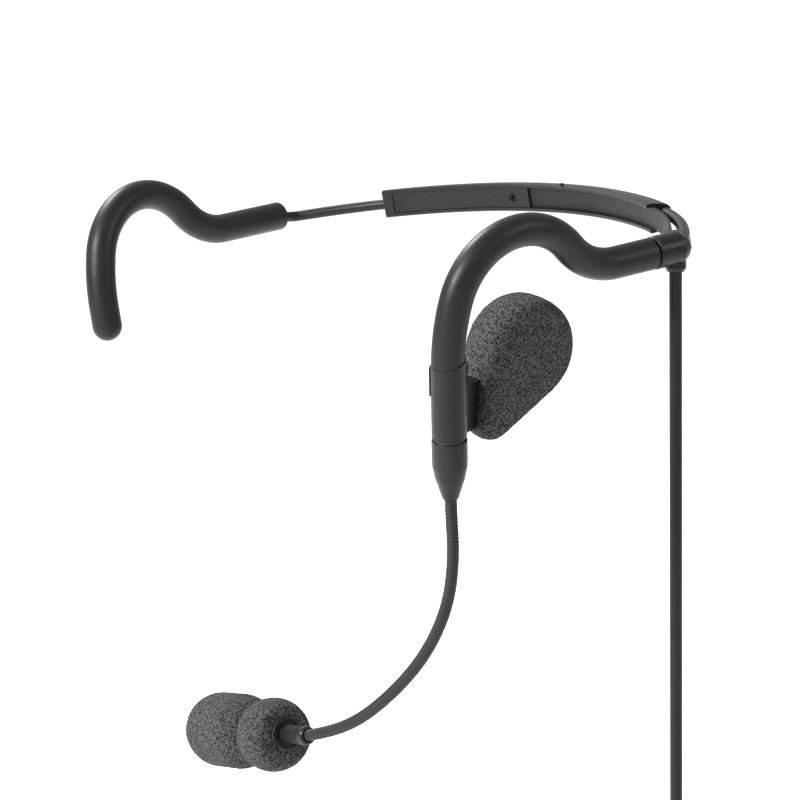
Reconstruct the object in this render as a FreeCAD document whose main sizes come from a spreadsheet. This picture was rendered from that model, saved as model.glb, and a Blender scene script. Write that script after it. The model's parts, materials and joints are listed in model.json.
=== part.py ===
import FreeCAD, Part
import math
import os
import re
import Sketcher
from FreeCAD import Placement, Rotation, Vector

# Behind-the-head headset: two ear hooks joined by an adjustable neckband, a foam-covered ear speaker and a
# swivelling gooseneck microphone on the wearer's left, and a cable that hangs from the left junction.
# Millimetres, +Z up, the wearer faces -Y and the wearer's left is +X. The origin is the point midway
# between the places where the two hooks rest on the ears.

DIMENSIONS = {
    # ear hooks, in the plane of each hook (p backwards, q upwards)
    "hook_diameter": 8.5, "core_diameter": 2.0, "sleeve_bore": 2.04,
    "hook_start_p": -0.77, "hook_start_q": 6.0, "hook_lean": -4.7,
    "front_radius": 53.0, "front_turn": 17.0,
    "crest_radius": 20.7, "crest_turn": 122.0,
    "dip_radius": 20.0, "dip_turn": 50.0,
    "left_tail": 11.8, "right_tail": 24.4, "right_drop": 6.5,
    "left_half_width": 70.3, "right_half_width": 70.4,
    "hook_setback": 20.4, "left_depth": 33.4, "right_depth": 34.1,
    "hook_splay": 6.9, "hook_roll": 9.0, "right_pitch": 2.9,
    # neckband, an arc in a tilted plane
    "band_radius": 116.8, "band_offset": -4.5, "band_setback": -25.0, "band_height": -23.9,
    "band_rise": 0.194, "band_slant": 0.036,
    "strap_height": 6.4, "strap_thickness": 0.8, "strap_radius": 117.9,
    "left_rod_diameter": 3.2, "left_rod_radius": 121.3, "left_rod_lift": 0.9,
    "right_rod_diameter": 3.1, "right_rod_radius": 118.8, "right_rod_lift": -0.4,
    "bend_angle": 58.0, "bend_shift": 47.9, "junction_angle": 32.5, "housing_start": 61.0, "housing_end": 117.3,
    "cover_start": 92.0, "cover_end": 115.8, "screw_angle": 95.0, "nib_angle": 85.0,
    "strap_end": 93.7, "groove_end": 94.0, "rod_end": 100.0, "rod_bore_end": 100.4,
    "right_rod_start": 112.0, "right_rod_end": 132.0,
    "housing_inner": 116.4, "housing_outer": 123.4, "housing_height": 8.3,
    "lip_height": 6.2, "cover_inner": 116.7, "cover_thickness": 1.1,
    "sliding_gap": 0.06, "screw_head_radius": 1.3, "screw_shank_radius": 0.7, "screw_length": 2.3,
    # stem and boom swivel, along the stem's axis
    "stem_lean": 6.8, "stem_radius": 4.5, "stem_bore": 3.1, "stem_top": 5.6, "stem_bottom": -14.4,
    "seam_tilt": 12.0, "swivel_bottom": -20.5, "cone_bottom": -31.0, "cone_mouth_radius": 2.1,
    "spindle_radius": 2.0, "gooseneck_diameter": 3.3, "lead_diameter": 1.2,
    # ear speaker, in the left hook's plane
    "speaker_p": 30.7, "speaker_q": 2.5, "speaker_inset": -10.8, "speaker_turn": 0.0,
    "foam_radius": 14.6, "foam_thickness": 13.0, "foam_wall": 2.2,
    "tail_p": 22.1, "tail_q": -15.3, "tail_radius": 5.4, "driver_radius": 10.4,
    "pin_p": 7.4, "pin_inset": -6.0, "pin_radius": 0.8,
    # microphone head, along its own axis
    "mic_radius": 3.3, "capsule_radius": 3.0, "rear_lobe_radius": 10.45, "front_lobe_radius": 10.75,
    "lobe_spacing": 18.7, "lobe_length": 11.5, "lobe_rise": -0.7, "windscreen_bore": 3.9,
    # cable
    "cable_diameter": 3.4, "coil_radius": 20.9, "coil_section": 6.4, "plug_pin_radius": 1.75,
}

document = FreeCAD.newDocument("headset")
sheet = document.addObject("Spreadsheet::Sheet", "dims")
for row, (alias, number) in enumerate(DIMENSIONS.items(), start=1):
    sheet.set("A%d" % row, alias)
    sheet.set("B%d" % row, str(number))
    sheet.setAlias("B%d" % row, alias)
document.recompute()

NODES = []


def cell(expression):
    """Turn the aliases in an expression into references to the spreadsheet."""
    return re.sub(r"\b([a-z]+(?:_[a-z]+)+)\b", r"dims.\1", expression)


def size(expression):
    """The present value of an expression in the spreadsheet's aliases."""
    return float(eval_number(expression))


def eval_number(expression):
    value = sheet.evalExpression(re.sub(r"\b([a-z]+(?:_[a-z]+)+)\b", r".\1", expression))
    return getattr(value, "Value", value)


def node(thing, label):
    """Give a finished sub-part its label, which names its file."""
    thing.Label = label
    NODES.append(thing)
    return thing


def part_object(kind, name, placement=None, **expressions):
    """Add a Part primitive or operation whose properties are bound to the spreadsheet."""
    thing = document.addObject(kind, name)
    for prop, expression in expressions.items():
        thing.setExpression(prop, cell(expression))
    if placement is not None:
        thing.Placement = placement
    return thing


def boolean(kind, name, base, tool):
    thing = document.addObject("Part::" + kind, name)
    thing.Base = base
    thing.Tool = tool
    return thing


def fuse(name, shapes):
    thing = document.addObject("Part::MultiFuse", name)
    thing.Shapes = shapes
    return thing


def frame_from(origin, x_axis, y_axis):
    z_axis = x_axis.cross(y_axis)
    return Placement(origin, Rotation(x_axis, y_axis, z_axis, "XYZ"))


def hook_frame(side, half_width, depth, pitch):
    """Frame of one hook: x backwards (p), y upwards (q), z towards the wearer's left."""
    splay = math.radians(size("hook_splay"))
    roll = math.radians(size("hook_roll"))
    back = Vector(side * math.sin(splay), math.cos(splay), 0)
    up = Vector(side * math.sin(roll) * math.cos(splay), -math.sin(roll) * math.sin(splay), math.cos(roll))
    tilt = math.radians(pitch)
    tipped_back = back * math.cos(tilt) + up * math.sin(tilt)
    tipped_up = up * math.cos(tilt) - back * math.sin(tilt)
    origin = Vector(side * half_width, -size("hook_setback"), -depth)
    return frame_from(origin, tipped_back, tipped_up)


LEFT = hook_frame(1, size("left_half_width"), size("left_depth"), 0)
RIGHT = hook_frame(-1, size("right_half_width"), size("right_depth"), -size("right_pitch"))
STEM = LEFT.multiply(Placement(Vector(), Rotation(Vector(0, 0, 1), size("stem_lean"))))

BAND_NORMAL = Vector(-size("band_slant"), -size("band_rise"), 1).normalize()
BAND_X = Vector(1, 0, size("band_slant")).normalize()
BAND_Z = BAND_X.cross(BAND_NORMAL)
BAND = Placement(Vector(size("band_offset"), size("band_setback"), size("band_height")),
                 Rotation(BAND_X, BAND_NORMAL, BAND_Z, "XYZ"))


def band_at(angle):
    """Frame on the band's axis whose x points along the given angle and whose y is the axis."""
    return BAND.multiply(Placement(Vector(), Rotation(Vector(0, 1, 0), angle)))


def bend_at(angle):
    """The same for the tighter arc on which strap and left rod run on to the left junction."""
    turn = angle - size("bend_angle")
    return band_at(size("bend_angle")).multiply(
        Placement(Vector(size("bend_shift"), 0, 0), Rotation(Vector(0, 1, 0), turn)))


def axis_frame(origin, direction, hint=Vector(0, 0, 1)):
    """Frame whose y axis lies along a direction, for a turned piece."""
    along = Vector(direction).normalize()
    across = hint.cross(along)
    if across.Length < 1e-6:
        across = Vector(1, 0, 0).cross(along)
    return frame_from(origin, across.normalize(), along)


# ---------------------------------------------------------------- makers

def origin_plane(body, role):
    return [feature for feature in body.Origin.OriginFeatures if feature.Role == role][0]


def outline(body, name, corners, plane="XY_Plane"):
    """A closed sketch of straight lines, each corner placed by a pair of expressions."""
    sketch = body.newObject("Sketcher::SketchObject", name)
    sketch.AttachmentSupport = [(origin_plane(body, plane), "")]
    sketch.MapMode = "FlatFace"
    points = [Vector(size(x), size(y), 0) for x, y in corners]
    count = len(points)
    for index in range(count):
        sketch.addGeometry(Part.LineSegment(points[index], points[(index + 1) % count]), False)
    for index in range(count):
        sketch.addConstraint(Sketcher.Constraint("Coincident", index, 2, (index + 1) % count, 1))
    for index, (x, y) in enumerate(corners):
        place_coordinate(sketch, index, x, "DistanceX", -2)
        place_coordinate(sketch, index, y, "DistanceY", -1)
    return sketch


def place_coordinate(sketch, index, expression, kind, axis):
    value = size(expression)
    if abs(value) < 1e-9:
        sketch.addConstraint(Sketcher.Constraint("PointOnObject", index, 1, axis))
        return
    number = sketch.addConstraint(Sketcher.Constraint(kind, index, 1, value))
    sketch.setExpression("Constraints[%d]" % number, cell(expression))


def circle_sketch(body, name, x, y, radius, plane="XY_Plane"):
    sketch = body.newObject("Sketcher::SketchObject", name)
    sketch.AttachmentSupport = [(origin_plane(body, plane), "")]
    sketch.MapMode = "FlatFace"
    sketch.addGeometry(Part.Circle(Vector(size(x), size(y), 0), Vector(0, 0, 1), size(radius)), False)
    for kind, value, axis in (("DistanceX", x, -2), ("DistanceY", y, -1)):
        if abs(size(value)) < 1e-9:
            sketch.addConstraint(Sketcher.Constraint("PointOnObject", 0, 3, axis))
            continue
        number = sketch.addConstraint(Sketcher.Constraint(kind, 0, 3, size(value)))
        sketch.setExpression("Constraints[%d]" % number, cell(value))
    number = sketch.addConstraint(Sketcher.Constraint("Radius", 0, size(radius)))
    sketch.setExpression("Constraints[%d]" % number, cell(radius))
    return sketch


def new_body(name, placement):
    body = document.addObject("PartDesign::Body", name)
    body.Placement = placement
    return body


def revolve(body, sketch, turn="360"):
    feature = body.newObject("PartDesign::Revolution", "revolution")
    feature.Profile = sketch
    feature.ReferenceAxis = (sketch, ["V_Axis"])
    feature.setExpression("Angle", cell(turn))
    document.recompute()
    return feature


def turned(name, placement, corners, turn="360"):
    """A turned piece: corners are (radius, height) expressions about the frame's y axis."""
    body = new_body(name, placement)
    revolve(body, outline(body, name + "_profile", corners), turn)
    return body


def ring(inner, outer, low, high):
    """The profile of a plain ring or disc."""
    return [(inner, low), (outer, low), (outer, high), (inner, high)]


def wire_of(points, radii):
    """Straight runs joined by tangent arcs; radii belong to the inner points."""
    edges = []
    start = points[0]
    for before, corner, after, radius in zip(points, points[1:], points[2:], radii):
        inward = (corner - before).normalize()
        outward = (after - corner).normalize()
        half = inward.getAngle(outward) / 2
        reach = radius * math.tan(half)
        first = corner - inward * reach
        last = corner + outward * reach
        middle = corner + (outward - inward).normalize() * radius * (1 / math.cos(half) - 1)
        if (first - start).Length > 1e-6:
            edges.append(Part.LineSegment(start, first).toShape())
        edges.append(Part.Arc(first, middle, last).toShape())
        start = last
    edges.append(Part.LineSegment(start, points[-1]).toShape())
    return Part.Wire(edges)


def free_radii(points):
    """The largest arc that each bend of a free route has room for."""
    radii = []
    for before, corner, after in zip(points, points[1:], points[2:]):
        inward = corner - before
        outward = after - corner
        half = inward.getAngle(outward) / 2
        radii.append(0.45 * min(inward.Length, outward.Length) / math.tan(half))
    return radii


def swept(name, wire, diameter):
    """A round bar along a wire, its diameter bound to the spreadsheet."""
    spine = document.addObject("Part::Feature", name + "_spine")
    spine.Shape = wire
    start = wire.Edges[0].Vertexes[0].Point
    tangent = wire.Edges[0].tangentAt(wire.Edges[0].FirstParameter)
    section = part_object("Part::Circle", name + "_section",
                          Placement(start, Rotation(Vector(0, 0, 1), tangent)), Radius="(%s) / 2" % diameter)
    sweep = document.addObject("Part::Sweep", name)
    sweep.Sections = [section]
    sweep.Spine = (spine, ["Edge%d" % (number + 1) for number in range(len(wire.Edges))])
    sweep.Solid = True
    sweep.Frenet = False
    return sweep


def cylinder(name, placement, radius, length):
    """A cylinder along the frame's z axis."""
    return part_object("Part::Cylinder", name, placement, Radius=radius, Height=length)


def block(name, placement, length, width, height):
    return part_object("Part::Box", name, placement, Length=length, Width=width, Height=height)


# ---------------------------------------------------------------- ear hooks

def arc_step(start, heading, radius, turn, side):
    """One tangent arc in a hook's plane; headings run from q towards p, in degrees."""
    def direction(angle):
        return Vector(math.sin(math.radians(angle)), math.cos(math.radians(angle)), 0)

    def normal(angle):
        return Vector(math.cos(math.radians(angle)), -math.sin(math.radians(angle)), 0) * side

    centre = start + normal(heading) * radius
    middle = centre - normal(heading + side * turn / 2) * radius
    end = centre - normal(heading + side * turn) * radius
    return (start, middle, end), end, heading + side * turn, direction(heading + side * turn)


def hook_wire(frame, drop, tail):
    """The hook's centreline from its front end over the ear to its rear end, and the rear heading."""
    start = Vector(size("hook_start_p"), size("hook_start_q"), 0)
    heading = size("hook_lean")
    lead_in = Vector(math.sin(math.radians(heading)), math.cos(math.radians(heading)), 0)
    edges = [(start - lead_in * drop, start)]
    for name, side in (("front", 1), ("crest", 1), ("dip", -1)):
        arc, start, heading, direction = arc_step(start, heading, size(name + "_radius"),
                                                  size(name + "_turn"), side)
        edges.append(arc)
    edges.append((start, start + direction * tail))
    shapes = []
    for points in edges:
        placed = [frame.multVec(point) for point in points]
        if len(placed) == 2:
            shapes.append(Part.LineSegment(*placed).toShape())
        else:
            shapes.append(Part.Arc(*placed).toShape())
    end = frame.multVec(start + direction * tail)
    return Part.Wire(shapes), end, frame.Rotation.multVec(direction)


def seam_box(name, below):
    """A block on one side of the slanting seam between the sleeve and the stem."""
    side = 30.0
    tilt = Placement(Vector(0, size("stem_top"), 0), Rotation(Vector(0, 0, 1), size("seam_tilt")))
    corner = Placement(Vector(-side / 2, -side if below else 0, -side / 2), Rotation())
    return block(name, STEM.multiply(tilt).multiply(corner), "30", "30", "30")


left_wire, left_end, left_heading = hook_wire(LEFT, 4.0, size("left_tail"))
left_outer = swept("left_sleeve_outer", left_wire, "hook_diameter")
left_bore = swept("left_sleeve_bore", left_wire, "sleeve_bore")
left_tube = boolean("Cut", "left_sleeve_tube", left_outer, left_bore)
node(boolean("Cut", "left_sleeve_trimmed", left_tube, seam_box("sleeve_seam", True)), "left_hook_sleeve")

core_reach = 2.6
left_core_wire, core_end, _ = hook_wire(LEFT, 8.0, size("left_tail") + core_reach)
left_core = node(swept("left_core", left_core_wire, "core_diameter"), "left_hook_spring_core")

right_tip_drop = 5.0
right_wire, right_end, right_heading = hook_wire(RIGHT, right_tip_drop, size("right_tail"))
right_outer = swept("right_sleeve_outer", right_wire, "hook_diameter")
right_tip = part_object("Part::Sphere", "right_tip", Placement(right_wire.Edges[0].Vertexes[0].Point, Rotation()),
                        Radius="hook_diameter / 2")
right_solid = fuse("right_sleeve_solid", [right_outer, right_tip])

# ---------------------------------------------------------------- right rod, from housing to hook

ROD_SOCKET_DEPTH = 6.0
TANGENT_RUN = 4.0
ROD_BEND = 4.0


def band_point(angle, radius, lift=0.0):
    return band_at(angle).multVec(Vector(radius, lift, 0))


rod_leave = size("right_rod_end") - 2.0
rod_radius = size("right_rod_radius")
arc_ends = [band_point(angle, rod_radius, size("right_rod_lift")) for angle in
            (size("right_rod_start"), (size("right_rod_start") + rod_leave) / 2, rod_leave)]
band_tangent = band_at(rod_leave).Rotation.multVec(Vector(0, 0, -1))
rod_corner = arc_ends[2] + band_tangent * TANGENT_RUN
rod_inside = right_end - right_heading * ROD_SOCKET_DEPTH
sleeve_mouth = right_end - right_heading * 1.0
entry = wire_of([arc_ends[2], rod_corner, sleeve_mouth, rod_inside], [ROD_BEND, ROD_BEND])
right_rod_wire = Part.Wire([Part.Arc(*arc_ends).toShape()] + entry.Edges)
right_rod = node(swept("right_rod", right_rod_wire, "right_rod_diameter"), "right_neck_rod")

right_core_wire, _, _ = hook_wire(RIGHT, right_tip_drop - 1.0, size("right_tail") - ROD_SOCKET_DEPTH)
node(swept("right_core", right_core_wire, "core_diameter"), "right_hook_spring_core")
right_bore = swept("right_sleeve_bore", right_core_wire, "sleeve_bore")
right_tube = boolean("Cut", "right_sleeve_tube", right_solid, right_bore)
node(boolean("Cut", "right_sleeve_socketed", right_tube, right_rod),
     "right_hook_sleeve")

# ---------------------------------------------------------------- neckband housing, cover and screw

FULL = "housing_height / 2"
LIP = "lip_height / 2"
SLOT = "strap_height / 2 + sliding_gap"
SLOT_INNER = "strap_radius - strap_thickness / 2 - sliding_gap"
SLOT_OUTER = "strap_radius + strap_thickness / 2 + sliding_gap"
POCKET = "cover_inner + cover_thickness"

# The back of the housing is rounded, and it is fuller at the top, where the left rod runs.
BACK = [
    ("housing_inner + 0.3", FULL), ("housing_inner + 1.9", FULL), ("housing_inner + 3.3", FULL + " - 0.35"),
    ("housing_outer - 2", FULL + " - 0.75"), ("housing_outer - 0.8", FULL + " - 1.3"),
    ("housing_outer - 0.15", FULL + " - 2.1"), ("housing_outer", "1"), ("housing_outer - 0.1", "-0.7"),
    ("housing_outer - 0.9", "-1.9"), ("housing_outer - 2.2", "-3"),
    ("housing_inner + 3", "-(" + FULL + " - 0.5)"), ("housing_inner + 1.6", "-" + FULL),
    ("housing_inner + 0.3", "-" + FULL), ("housing_inner", "-(" + FULL + " - 0.3)")]
FRONT = [("housing_inner", FULL + " - 0.3")]

channel = turned("housing_channel", band_at(size("housing_start")), FRONT + BACK + [
    ("housing_inner", "-" + LIP), (SLOT_INNER, "-" + LIP),
    (SLOT_INNER, "-(%s)" % SLOT), (SLOT_OUTER, "-(%s)" % SLOT), (SLOT_OUTER, SLOT),
    (SLOT_INNER, SLOT), (SLOT_INNER, LIP), ("housing_inner", LIP)],
    "groove_end - housing_start")
covered = turned("housing_covered", band_at(size("groove_end")), FRONT + BACK + [
    ("housing_inner", "-" + LIP), (POCKET, "-" + LIP),
    (POCKET, LIP), ("housing_inner", LIP)], "cover_end - groove_end")
nose = turned("housing_nose", band_at(size("cover_end")), FRONT + BACK, "housing_end - cover_end")
nib = cylinder("housing_nib", band_at(size("nib_angle")).multiply(
    Placement(Vector(size("housing_inner") + 0.9, size(FULL) - 0.5, 0), Rotation(Vector(1, 0, 0), -90))),
    "0.7", "1.1")
housing_solid = fuse("housing_solid", [channel, covered, nose, nib])


def band_rod(name, start, end, radius, lift, bar_radius, frame_at=band_at):
    body = new_body(name, frame_at(size(start)))
    revolve(body, circle_sketch(body, name + "_section", radius, lift, bar_radius), "%s - %s" % (end, start))
    return body


left_rod = node(fuse("left_rod", [
    band_rod("left_rod_run", "bend_angle", "rod_end", "left_rod_radius", "left_rod_lift",
             "left_rod_diameter / 2"),
    band_rod("left_rod_bend", "junction_angle", "bend_angle", "left_rod_radius - bend_shift",
             "left_rod_lift", "left_rod_diameter / 2", bend_at)]), "left_neck_rod")
rod_bore = band_rod("rod_bore", "housing_start", "rod_bore_end", "left_rod_radius", "left_rod_lift",
                    "left_rod_diameter / 2 + sliding_gap")

screw_frame = band_at(size("screw_angle")).multiply(
    Placement(Vector(size(POCKET), 0, 0), Rotation(Vector(0, 0, 1), 90)))
screw_tool = turned("screw_tool", screw_frame, ring("0", "screw_head_radius", "0.2", "2"))
shank_tool = turned("shank_tool", screw_frame, ring("0", "screw_shank_radius", "-screw_length / 2", "0.2"))
screw = node(turned("cover_screw_body", screw_frame, [
    ("0", "-screw_length / 2"), ("screw_shank_radius", "-screw_length / 2"), ("screw_shank_radius", "0.2"),
    ("screw_head_radius", "0.2"), ("screw_head_radius", "0.75"), ("screw_head_radius - 0.25", "1"),
    ("0.6", "1"), ("0.6", "0.55"), ("0", "0.55")]), "cover_screw")

cover_blank = turned("cover_blank", band_at(size("cover_start")), [
    ("cover_inner", "-(lip_height / 2 - 0.05)"), ("cover_inner", "lip_height / 2 - 0.05"),
    (POCKET, "lip_height / 2 - 0.05"), (POCKET, "-(lip_height / 2 - 0.05)")], "cover_end - cover_start")
cover_bored = boolean("Cut", "cover_bored", cover_blank, screw_tool)
cover_holed = boolean("Cut", "cover_holed", cover_bored, shank_tool)
strap_clearance = turned("strap_clearance", band_at(size("cover_start") - 0.5), [
    (SLOT_INNER, "-(%s)" % SLOT), (SLOT_OUTER, "-(%s)" % SLOT), (SLOT_OUTER, SLOT), (SLOT_INNER, SLOT)],
    "groove_end - cover_start + 0.5")
cover_tools = fuse("cover_tools", [strap_clearance, right_rod])
node(boolean("Cut", "cover_relieved", cover_holed, cover_tools), "neckband_cover")

rod_socket = band_rod("rod_socket", "right_rod_start", "housing_end", "right_rod_radius", "right_rod_lift",
                      "right_rod_diameter / 2")
housing_tools = fuse("housing_tools", [rod_bore, rod_socket, shank_tool])
node(boolean("Cut", "housing_bored", housing_solid, housing_tools), "neckband_housing")

STRAP_INNER = "strap_radius - strap_thickness / 2"
STRAP_OUTER = "strap_radius + strap_thickness / 2"
strap = node(fuse("strap", [
    turned("strap_run", band_at(size("bend_angle")),
           ring(STRAP_INNER, STRAP_OUTER, "-strap_height / 2", "strap_height / 2"), "strap_end - bend_angle"),
    turned("strap_bend", bend_at(size("junction_angle")),
           ring(STRAP_INNER + " - bend_shift", STRAP_OUTER + " - bend_shift", "-strap_height / 2",
                "strap_height / 2"), "bend_angle - junction_angle")]), "adjuster_strap")

# ---------------------------------------------------------------- left junction and cable gland

TAIL = axis_frame(left_end, left_heading)
barrel = turned("junction_barrel", TAIL, [
    ("0", "2.6"), ("3.5", "2.6"), ("3.5", "0.9"), ("4.05", "0.9"), ("4.4", "1.25"), ("4.4", "9.0"),
    ("3.6", "10.9"), ("0", "11.4")])
ARM_INNER = "strap_radius - bend_shift - 1.1"
ARM_OUTER = "left_rod_radius - bend_shift + 1.9"
junction_arm = turned("junction_arm", bend_at(size("junction_angle") - 2.2), [
    (ARM_INNER, "-3.8"), (ARM_OUTER + " - 1.2", "-3.2"), (ARM_OUTER, "-1.8"), (ARM_OUTER, "2.4"),
    (ARM_OUTER + " - 1.2", "3.5"), (ARM_INNER, "3.8")], "6.2")
GLAND_FORWARD = 8.8
GLAND_TOP = 1.0
CABLE_TOP = left_end + left_heading * GLAND_FORWARD - Vector(0, 0, GLAND_TOP)
DOWN = axis_frame(CABLE_TOP, Vector(0, 0, -1), Vector(0, 1, 0))
gland = turned("gland", DOWN, [
    ("cable_diameter / 2", "0"), ("2.8", "0"), ("2.8", "4.2"), ("2.3", "5.2"),
    ("cable_diameter / 2", "5.2")])
node(gland, "cable_gland")
gland_tool = turned("gland_tool", DOWN, ring("0", "2.8", "0", "5.2"))
junction_solid = fuse("junction_solid", [barrel, junction_arm])
junction_tools = fuse("junction_tools", [strap, left_rod, gland_tool])
node(boolean("Cut", "junction_cut", junction_solid, junction_tools), "left_junction")
node(turned("core_crimp", TAIL, ring("sleeve_bore / 2", "2.75", "0", "2.6")), "hook_core_crimp")

# ---------------------------------------------------------------- stem and boom swivel

HALF_TURN = Placement(Vector(), Rotation(Vector(0, 1, 0), 180))
BEARING = "spindle_radius + sliding_gap"
LEDGE = "stem_bottom + 3.4"
shell_profile = [
    (BEARING, "stem_bottom"), ("stem_radius - 0.3", "stem_bottom"), ("stem_radius", "stem_bottom + 0.3"),
    ("stem_radius", "stem_top + 3"), ("stem_bore", "stem_top + 3"), ("stem_bore", LEDGE), (BEARING, LEDGE)]
for shell, frame in (("outer", STEM.multiply(HALF_TURN)), ("inner", STEM)):
    blank = turned("stem_blank_" + shell, frame, shell_profile, "180")
    trimmed = boolean("Cut", "stem_trimmed_" + shell, blank, seam_box("stem_seam_" + shell, False))
    node(trimmed, "stem_%s_shell" % shell)

anchor_blank = turned("anchor_blank", STEM, ring("0", "stem_bore", "0.5", "3.5"))
node(boolean("Cut", "anchor_cut", anchor_blank, left_core), "hook_core_anchor")

key_frame = STEM.multiply(Placement(Vector(), Rotation(Vector(0, 1, 0), 138)))
key_blank = block("key_blank", key_frame.multiply(Placement(Vector(3.6, -3.0, -0.9), Rotation())),
                  "1.2", "7.4", "1.8")
key_bed = turned("key_bed", STEM, ring("0", "stem_radius", "-5", "6"))
node(boolean("Cut", "key_cut", key_blank, key_bed), "stem_latch_key")

spindle = node(turned("spindle", STEM, [
    ("0.7", "swivel_bottom + 0.5"), ("spindle_radius", "swivel_bottom + 0.5"),
    ("spindle_radius", "%s + 0.05" % LEDGE), ("spindle_radius - 0.5", "%s + 0.05" % LEDGE),
    ("spindle_radius - 0.5", "%s + 0.65" % LEDGE), ("spindle_radius", "%s + 0.65" % LEDGE),
    ("spindle_radius - 0.3", "%s + 1.6" % LEDGE), ("0.7", "%s + 1.6" % LEDGE)]), "swivel_spindle")
node(turned("retaining_ring", STEM, ring("spindle_radius - 0.5", "stem_bore - 0.3",
                                         "%s + 0.05" % LEDGE, "%s + 0.65" % LEDGE)), "swivel_retaining_ring")
node(turned("friction_washer", STEM, ring("spindle_radius", "stem_radius - 0.5", "stem_bottom - 0.4",
                                          "stem_bottom - 0.05")), "swivel_friction_washer")
node(turned("swivel_collar", STEM, [
    ("spindle_radius", "swivel_bottom + 0.5"), ("0.7", "swivel_bottom + 0.5"), ("0.7", "swivel_bottom"),
    ("stem_radius + 0.1", "swivel_bottom"), ("stem_radius + 0.1", "stem_bottom - 0.7"),
    ("stem_radius - 0.2", "stem_bottom - 0.4"), ("spindle_radius", "stem_bottom - 0.4")]), "swivel_collar")
node(turned("boom_cone", STEM, [
    ("gooseneck_diameter / 2", "swivel_bottom - 2"), ("0.7", "swivel_bottom - 2"), ("0.7", "swivel_bottom"),
    ("stem_radius + 0.05", "swivel_bottom"), ("stem_radius + 0.05", "swivel_bottom - 1.6"),
    ("stem_radius - 0.6", "swivel_bottom - 4.9"), ("cone_mouth_radius + 0.15", "cone_bottom + 0.4"),
    ("cone_mouth_radius", "cone_bottom"), ("gooseneck_diameter / 2", "cone_bottom")]), "boom_cone")

# ---------------------------------------------------------------- gooseneck, split at its two bending places

# The boom hangs from the cone and curves inwards, across the front of the neck.
BOOM_Y = -16.2
gooseneck_start = STEM.multVec(Vector(0, size("swivel_bottom") - 2, 0))
gooseneck_route = [
    gooseneck_start,
    STEM.multVec(Vector(0, size("cone_bottom") - 2.5, 0)),
    Vector(66.9, BOOM_Y, -79.0),
    Vector(64.4, BOOM_Y, -92.5),
    Vector(56.2, BOOM_Y, -106.5),
    Vector(43.4, BOOM_Y, -119.5),
    Vector(27.2, BOOM_Y, -131.7),
    Vector(9.1, BOOM_Y, -139.0),
]
MIC_DIRECTION = Vector(-0.966, 0.17, -0.195).normalize()
gooseneck_route.append(gooseneck_route[-1] + MIC_DIRECTION * 5.0)
gooseneck_radii = free_radii(gooseneck_route)
gooseneck_radii[0] = 16.0
gooseneck_radii[-1] = 9.0
BEND_GAP = 0.55


def between(first, second):
    return (gooseneck_route[first] + gooseneck_route[second]) * 0.5


def run_direction(first, second):
    return (gooseneck_route[second] - gooseneck_route[first]).normalize()


upper_bend = between(3, 4)
lower_bend = between(5, 6)
upper_run = run_direction(3, 4)
lower_run = run_direction(5, 6)
segments = {
    "upper": (gooseneck_route[:4] + [upper_bend - upper_run * BEND_GAP], gooseneck_radii[:3]),
    "middle": ([upper_bend + upper_run * BEND_GAP] + gooseneck_route[4:6]
               + [lower_bend - lower_run * BEND_GAP], gooseneck_radii[3:5]),
    "lower": ([lower_bend + lower_run * BEND_GAP] + gooseneck_route[6:], gooseneck_radii[5:]),
}
for name, (route, radii) in segments.items():
    wire = wire_of(route, radii)
    tube = boolean("Cut", "gooseneck_cut_" + name, swept("gooseneck_outer_" + name, wire, "gooseneck_diameter"),
                   swept("gooseneck_bore_" + name, wire, "lead_diameter + 0.04"))
    node(tube, "gooseneck_%s" % name)
    node(swept("mic_lead_bar_" + name, wire, "lead_diameter"), "mic_lead_%s" % name)

# ---------------------------------------------------------------- microphone head

MIC = axis_frame(gooseneck_route[-2], MIC_DIRECTION)
FERRULE_LENGTH = 4.2
HEAD = MIC.multiply(Placement(Vector(0, FERRULE_LENGTH, 0), Rotation()))
FLANGE = 8.6
REAR_LOBE = 16.5
LOBE_RISE = Vector(0, 0, size("lobe_rise"))
node(turned("mic_ferrule", MIC, [
    ("gooseneck_diameter / 2", "1.3"), ("2.2", "1.3"), ("2.6", "1.8"), ("2.6", "4"), ("2.3", "4.25"),
    ("2.3", "4.75"), ("2.6", "5"), ("2.6", "12.8"), ("gooseneck_diameter / 2", "12.8")]), "mic_ferrule")
hexagon = part_object("Part::Prism", "collar_hexagon",
                      HEAD.multiply(Placement(Vector(0, FLANGE, 0), Rotation(Vector(1, 0, 0), -90))),
                      Circumradius="5.25", Height="1.6")
hexagon.Polygon = 6
collar_round = turned("collar_round", HEAD, [
    ("0.7", "9.1"), ("3.7", "9.1"), ("3.9", "8.6"), ("4.5", "8.6"), ("4.9", "9.1"), ("4.9", "9.8"),
    ("4.5", "10.2"), ("0.7", "10.2")])
node(boolean("Common", "collar_common", hexagon, collar_round), "mic_rear_collar")
node(turned("mic_tube", HEAD, [
    ("0.7", "10.2"), ("mic_radius", "10.2"), ("mic_radius", "22.5"), ("capsule_radius", "22.5"),
    ("capsule_radius", "11.4"), ("0.7", "11.4")]), "mic_capsule_tube")
node(turned("capsule", HEAD, [
    ("0", "16"), ("capsule_radius", "16"), ("capsule_radius", "21.6"), ("1.1", "21.6"), ("1.1", "21.2"),
    ("0", "21.2")]), "mic_capsule")
grille_disc = turned("grille_disc", HEAD, ring("0", "capsule_radius", "21.8", "22.4"))
holes = [cylinder("grille_hole_%d" % index, HEAD.multiply(Placement(
    Vector(1.7 * math.cos(index * math.pi / 3), 21.5, 1.7 * math.sin(index * math.pi / 3)),
    Rotation(Vector(1, 0, 0), -90))), "0.45", "1.2") for index in range(6)]
node(boolean("Cut", "grille_cut", grille_disc, fuse("grille_holes", holes)), "mic_grille")

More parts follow.
